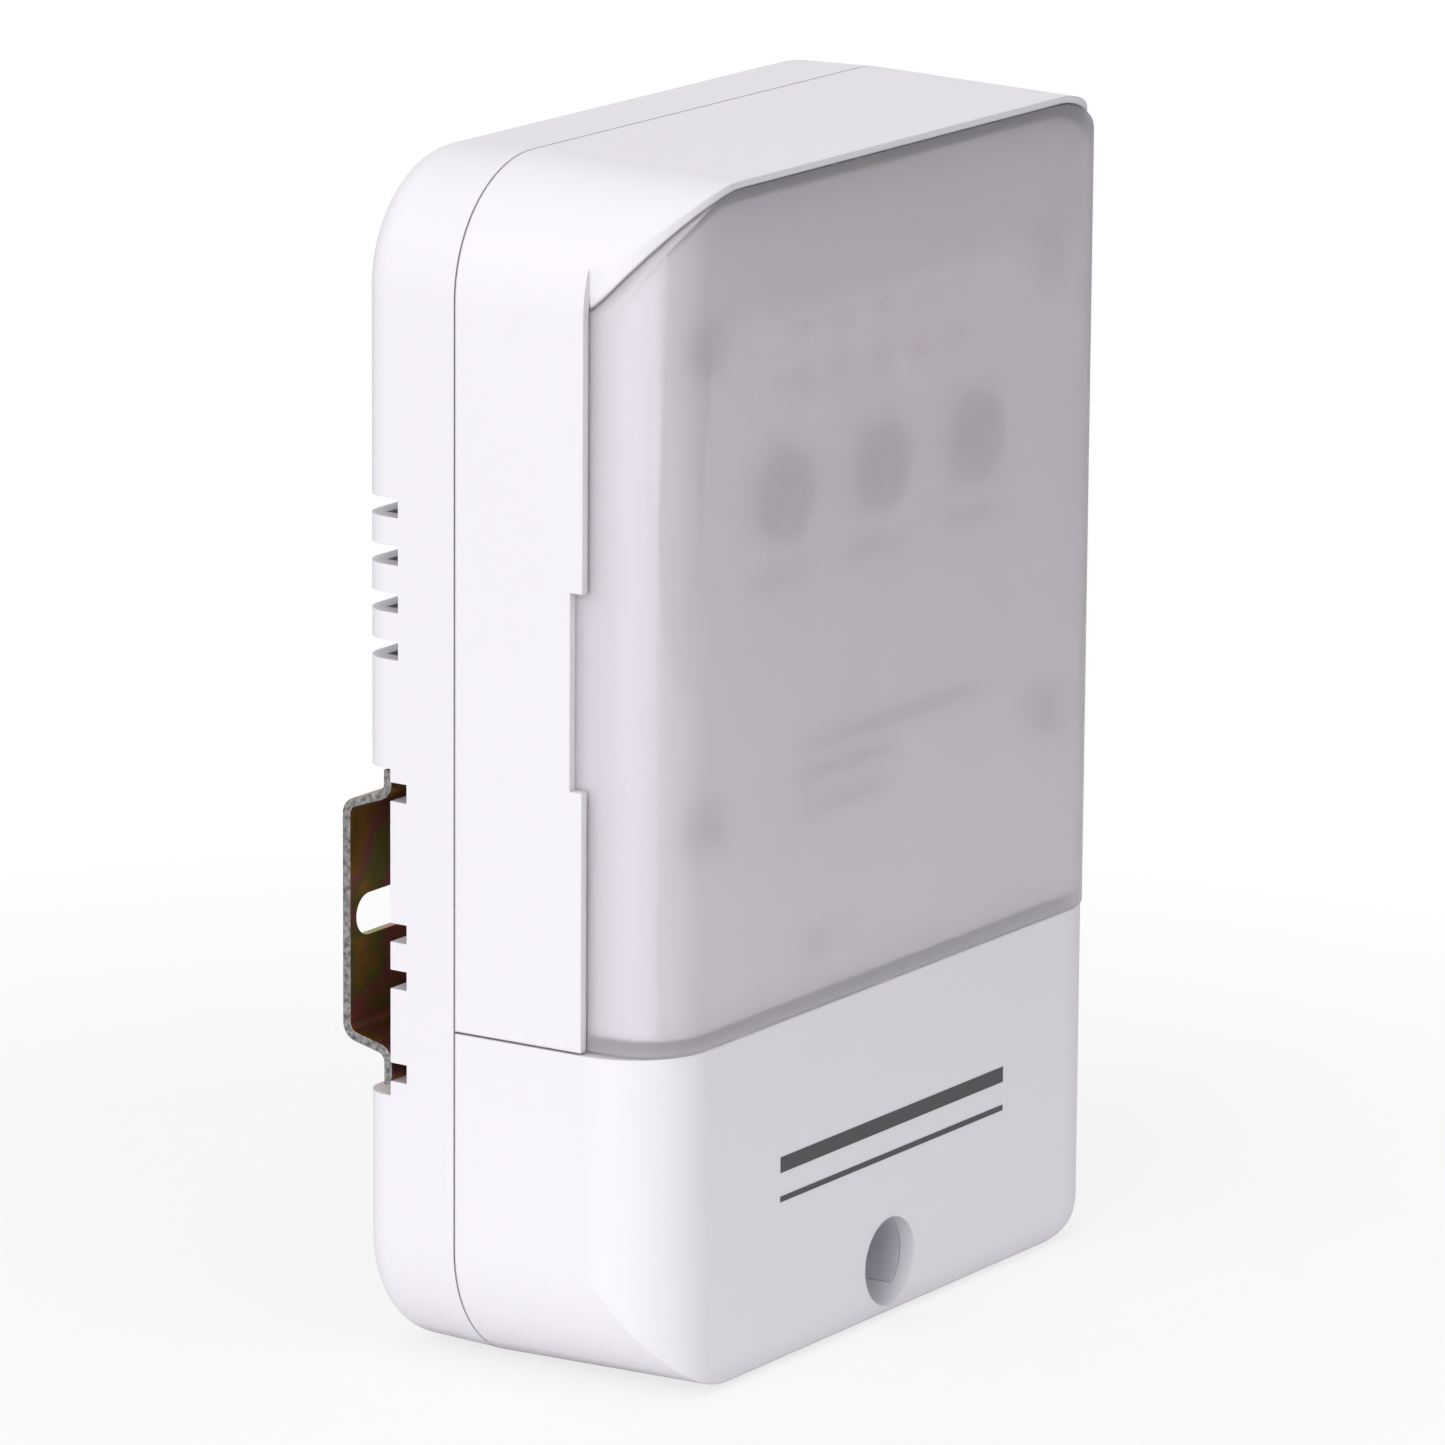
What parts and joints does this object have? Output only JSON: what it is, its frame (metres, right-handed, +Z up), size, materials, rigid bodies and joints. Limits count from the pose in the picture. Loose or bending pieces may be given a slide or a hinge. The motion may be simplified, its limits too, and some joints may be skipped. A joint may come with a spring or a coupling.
{
  "type": "surge protector",
  "caption": "Wall-mounted voltage and surge protector box with a pull-off frosted door over its dials, a screwed terminal cover and a slotted steel wall strap.",
  "frame": {"origin": "middle of the wall strap's web, in the wall plane", "axes": "+X to the right seen from the front, +Y into the wall, +Z up"},
  "size_m": [0.115, 0.0515, 0.165],
  "materials": {
    "case_plastic": "fine spark-eroded grain, white ABS",
    "door_plastic": "translucent frosted polycarbonate",
    "zinc_strap": "yellow zinc passivated sheet",
    "screw_steel": "bright zinc",
    "knob_plastic": "black moulded",
    "shaft_plastic": "natural nylon",
    "trimmer_plastic": "blue moulded",
    "led_green": "clear tinted epoxy",
    "led_amber": "clear tinted epoxy",
    "led_red": "clear tinted epoxy",
    "button_plastic": "grey moulded",
    "board": "green lacquered glass-fibre board",
    "black_plastic": "black moulded",
    "core_steel": "lacquered laminations",
    "bobbin_plastic": "taped winding",
    "disc_coating": "blue epoxy dip",
    "film_coating": "moulded box",
    "can_sleeve": "sleeved aluminium can",
    "fuse_glass": "clear tube",
    "brass_clip": "bright",
    "copper_strap": "bright copper",
    "grommet_rubber": "soft black"
  },
  "bodies": {
    "case": {"board_link_header": "black_plastic", "bracket_screws": "screw_steel", "cable_clamp_bars": "black_plastic", "cable_clamp_screws": "screw_steel", "control_board": "board", "control_board_screws": "screw_steel", "controller_chip": "black_plastic", "delay_led": "led_amber", "delay_trimmer": "trimmer_plastic", "earth_varistor": "disc_coating", "film_capacitors": "film_coating", "front_hood": "case_plastic", "fuse_clips": "brass_clip", "glass_fuse": "fuse_glass", "high_led": "led_red", "high_voltage_trimmer": "trimmer_plastic", "line_in_strap": "copper_strap", "line_out_strap": "copper_strap", "line_varistor": "disc_coating", "low_led": "led_red", "low_voltage_trimmer": "trimmer_plastic", "neutral_in_strap": "copper_strap", "neutral_out_strap": "copper_strap", "neutral_varistor": "disc_coating", "outlet_grommet": "grommet_rubber", "output_led": "led_green", "power_board": "board", "power_board_screws": "screw_steel", "power_led": "led_green", "power_relay": "black_plastic", "rear_foot": "case_plastic", "rear_shell": "case_plastic", "rear_side_walls": "case_plastic", "recess_pan": "case_plastic", "reset_switch": "black_plastic", "shell_screws": "screw_steel", "smoothing_capacitor": "can_sleeve", "supply_grommet": "grommet_rubber", "terminal_block": "black_plastic", "terminal_block_screws": "screw_steel", "terminal_clamps": "brass_clip", "terminal_screws": "screw_steel", "transformer_bobbin": "bobbin_plastic", "transformer_core": "core_steel", "wall_bracket": "zinc_strap"},
    "status_cover": {"status_cover": "door_plastic"},
    "lower_cover": {"lower_cover": "case_plastic", "cover_well": "case_plastic", "cover_screw_washer": "screw_steel"},
    "cover_screw": {"cover_screw": "screw_steel"},
    "high_voltage_knob": {"high_voltage_knob": "knob_plastic", "high_voltage_shaft": "shaft_plastic"},
    "delay_knob": {"delay_knob": "knob_plastic", "delay_shaft": "shaft_plastic"},
    "low_voltage_knob": {"low_voltage_knob": "knob_plastic", "low_voltage_shaft": "shaft_plastic"},
    "reset_button": {"reset_button": "button_plastic"}
  },
  "joints": [
    {"name": "status_cover_slide", "type": "slide", "parent": "case", "child": "status_cover", "axis": [0, -1, 0], "range_m": [0, 0.06]},
    {"name": "lower_cover_slide", "type": "slide", "parent": "case", "child": "lower_cover", "axis": [0, -1, 0], "range_m": [0, 0.06]},
    {"name": "cover_screw_turn", "type": "hinge", "parent": "lower_cover", "child": "cover_screw", "pos_m": [0, -0.03, -0.053], "axis": [0, 1, 0], "continuous": true},
    {"name": "high_voltage_turn", "type": "hinge", "parent": "case", "child": "high_voltage_knob", "pos_m": [-0.0237, -0.045, 0.0584], "axis": [0, 1, 0], "range_deg": [-135, 135]},
    {"name": "delay_turn", "type": "hinge", "parent": "case", "child": "delay_knob", "pos_m": [0, -0.045, 0.0584], "axis": [0, 1, 0], "range_deg": [-135, 135]},
    {"name": "low_voltage_turn", "type": "hinge", "parent": "case", "child": "low_voltage_knob", "pos_m": [0.0237, -0.045, 0.0584], "axis": [0, 1, 0], "range_deg": [-135, 135]},
    {"name": "reset_press", "type": "slide", "parent": "case", "child": "reset_button", "axis": [0, 1, 0], "range_m": [0, 0.0012], "stiffness_N_per_m": 800}
  ]
}
